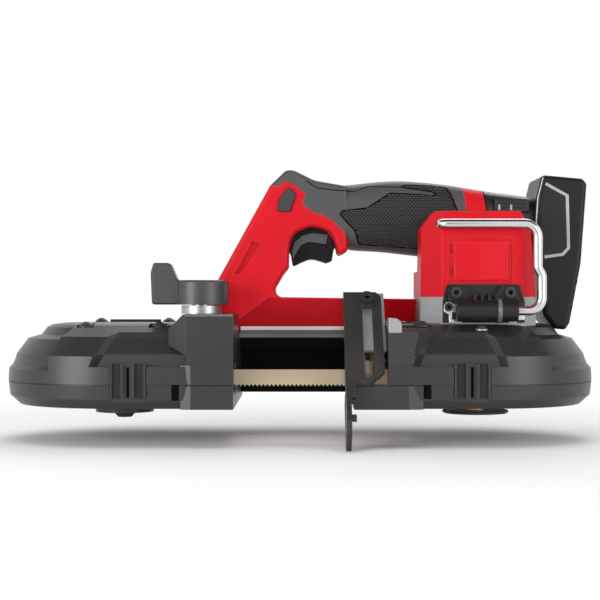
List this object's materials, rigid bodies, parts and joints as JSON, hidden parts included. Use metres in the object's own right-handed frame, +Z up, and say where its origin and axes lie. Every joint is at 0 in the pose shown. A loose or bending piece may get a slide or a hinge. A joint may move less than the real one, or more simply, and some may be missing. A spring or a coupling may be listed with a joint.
{
  "type": "portable band saw",
  "caption": "Compact battery band saw with a top grip, trigger, open throat, adjustable work shoe, blade wheels in guards, tension lever, hang hook and slide-out battery.",
  "frame": {"origin": "middle of the blade's cutting run, on the blade's centre line", "axes": "+X along the saw towards the battery, +Y away from the open side of the throat, +Z up towards the grip"},
  "size_m": [0.36, 0.1679, 0.1663],
  "materials": {
    "red": "moulded red nylon",
    "dark": "moulded dark grey nylon",
    "black": "moulded black plastic",
    "gloss_black": "smooth black plastic",
    "rubber": "soft overmoulded rubber",
    "tyre": "bonded rubber band",
    "aluminium": "cast aluminium",
    "steel": "bright steel",
    "zinc": "zinc plated steel",
    "blade": "tan finished spring steel",
    "bronze": "sintered bronze",
    "copper": "wound copper on laminated steel",
    "board": "green circuit board"
  },
  "bodies": {
    "saw_body": {"main_frame": "aluminium", "gear_case": "aluminium", "motor_cover": "red", "handle_shell_near": "red", "handle_shell_far": "red", "grip_near": "rubber", "grip_far": "rubber", "front_wheel_guard": "dark", "front_lower_cover": "dark", "rear_wheel_guard": "dark", "rear_lower_cover": "dark", "return_guard": "black", "guard_clips": "dark", "front_guide_bracket": "steel", "rear_guide_bracket": "steel", "pins": "steel", "screws": "steel", "shoe_screw": "steel", "blade": "blade", "tension_collar": "zinc", "tension_spring": "steel", "drive_bearings": "steel", "motor_bearings": "steel", "motor_stator": "copper", "switch_module": "black", "trigger_spring": "steel", "control_board": "board", "battery_terminal": "black", "hook_bracket": "black", "hook_plate": "zinc"},
    "drive_group": {"drive_wheel": "aluminium", "drive_tyre": "tyre", "drive_shaft": "steel", "drive_spacer": "bronze", "drive_retainer": "steel", "output_gear": "steel"},
    "compound_gear": {"compound_gear": "steel"},
    "motor_rotor": {"motor_rotor": "steel"},
    "tension_lever": {"tension_lever": "dark", "tension_shaft": "steel"},
    "tension_slide": {"tension_slide": "aluminium", "idler_axle": "steel"},
    "idler_group": {"idler_wheel": "aluminium", "idler_tyre": "tyre", "idler_bearings": "steel"},
    "shoe": {"shoe": "steel"},
    "trigger": {"trigger": "gloss_black"},
    "lock_button": {"lock_button": "black"},
    "battery": {"battery_pack": "dark", "battery_stem": "black"},
    "battery_latch_near": {"battery_latch_near": "black"},
    "battery_latch_far": {"battery_latch_far": "black"},
    "hook": {"hook": "zinc"},
    "front_roller_over": {"front_roller_over": "bronze"},
    "front_roller_under": {"front_roller_under": "bronze"},
    "front_roller_back": {"front_roller_back": "bronze"},
    "rear_roller_over": {"rear_roller_over": "bronze"},
    "rear_roller_under": {"rear_roller_under": "bronze"},
    "rear_roller_back": {"rear_roller_back": "bronze"}
  },
  "joints": [
    {"name": "drive_spin", "type": "hinge", "parent": "saw_body", "child": "drive_group", "pos_m": [0.11519, 0.0544, 0], "axis": [0, 0, 1], "continuous": true},
    {"name": "compound_spin", "type": "hinge", "parent": "saw_body", "child": "compound_gear", "pos_m": [0.09603, 0.03803, 0], "axis": [0, 0, 1], "continuous": true},
    {"name": "rotor_spin", "type": "hinge", "parent": "saw_body", "child": "motor_rotor", "pos_m": [0.11191, 0.03483, 0], "axis": [0, 0, 1], "continuous": true},
    {"name": "lever_turn", "type": "hinge", "parent": "saw_body", "child": "tension_lever", "pos_m": [-0.0536, 0.032, 0], "axis": [0, 0, 1], "range_deg": [0, 180]},
    {"name": "tension_travel", "type": "slide", "parent": "saw_body", "child": "tension_slide", "axis": [1, 0, 0], "range_m": [0, 0.006], "deforming": ["tension_spring"]},
    {"name": "idler_spin", "type": "hinge", "parent": "tension_slide", "child": "idler_group", "pos_m": [-0.10281, 0.0544, 0], "axis": [0, 0, 1], "continuous": true},
    {"name": "shoe_travel", "type": "slide", "parent": "saw_body", "child": "shoe", "axis": [0, 0.7071, 0.7071], "range_m": [0, 0.026]},
    {"name": "trigger_pull", "type": "slide", "parent": "saw_body", "child": "trigger", "axis": [0, 0, 1], "range_m": [0, 0.005], "stiffness_N_per_m": 700, "springref_m": -0.001, "deforming": ["trigger_spring"]},
    {"name": "lock_push", "type": "slide", "parent": "saw_body", "child": "lock_button", "axis": [0, 1, 0], "range_m": [0, 0.003]},
    {"name": "battery_draw", "type": "slide", "parent": "saw_body", "child": "battery", "axis": [0.9951, 0, -0.0993], "range_m": [0, 0.07]},
    {"name": "latch_near_press", "type": "slide", "parent": "battery", "child": "battery_latch_near", "axis": [0, 1, 0], "range_m": [0, 0.002], "stiffness_N_per_m": 1200, "springref_m": -0.0005},
    {"name": "latch_far_press", "type": "slide", "parent": "battery", "child": "battery_latch_far", "axis": [0, -1, 0], "range_m": [0, 0.002], "stiffness_N_per_m": 1200, "springref_m": -0.0005},
    {"name": "hook_swing", "type": "hinge", "parent": "saw_body", "child": "hook", "pos_m": [0.116, 0.00603, 0.0392], "axis": [1, 0, 0], "range_deg": [0, 90]},
    {"name": "front_over_spin", "type": "hinge", "parent": "saw_body", "child": "front_roller_over", "pos_m": [-0.04425, -0.00308, 0.00308], "axis": [0, 0.7071, 0.7071], "continuous": true},
    {"name": "front_under_spin", "type": "hinge", "parent": "saw_body", "child": "front_roller_under", "pos_m": [-0.04425, 0.00308, -0.00308], "axis": [0, 0.7071, 0.7071], "continuous": true},
    {"name": "front_back_spin", "type": "hinge", "parent": "saw_body", "child": "front_roller_back", "pos_m": [-0.05145, 0.00739, 0.00739], "axis": [0, -0.7071, 0.7071], "continuous": true},
    {"name": "rear_over_spin", "type": "hinge", "parent": "saw_body", "child": "rear_roller_over", "pos_m": [0.04525, -0.00308, 0.00308], "axis": [0, 0.7071, 0.7071], "continuous": true},
    {"name": "rear_under_spin", "type": "hinge", "parent": "saw_body", "child": "rear_roller_under", "pos_m": [0.04525, 0.00308, -0.00308], "axis": [0, 0.7071, 0.7071], "continuous": true},
    {"name": "rear_back_spin", "type": "hinge", "parent": "saw_body", "child": "rear_roller_back", "pos_m": [0.05245, 0.00739, 0.00739], "axis": [0, -0.7071, 0.7071], "continuous": true}
  ],
  "couplings": [
    {"joint": "compound_spin", "follows": "drive_spin", "ratio": -3.6667},
    {"joint": "rotor_spin", "follows": "drive_spin", "ratio": 12.833},
    {"joint": "idler_spin", "follows": "drive_spin", "ratio": 1},
    {"joint": "lever_turn", "follows": "tension_travel", "rad_per_m": 523.6},
    {"joint": "front_over_spin", "follows": "drive_spin", "ratio": -13.6},
    {"joint": "front_under_spin", "follows": "drive_spin", "ratio": 13.6},
    {"joint": "front_back_spin", "follows": "drive_spin", "ratio": 13.6},
    {"joint": "rear_over_spin", "follows": "drive_spin", "ratio": -13.6},
    {"joint": "rear_under_spin", "follows": "drive_spin", "ratio": 13.6},
    {"joint": "rear_back_spin", "follows": "drive_spin", "ratio": 13.6}
  ]
}
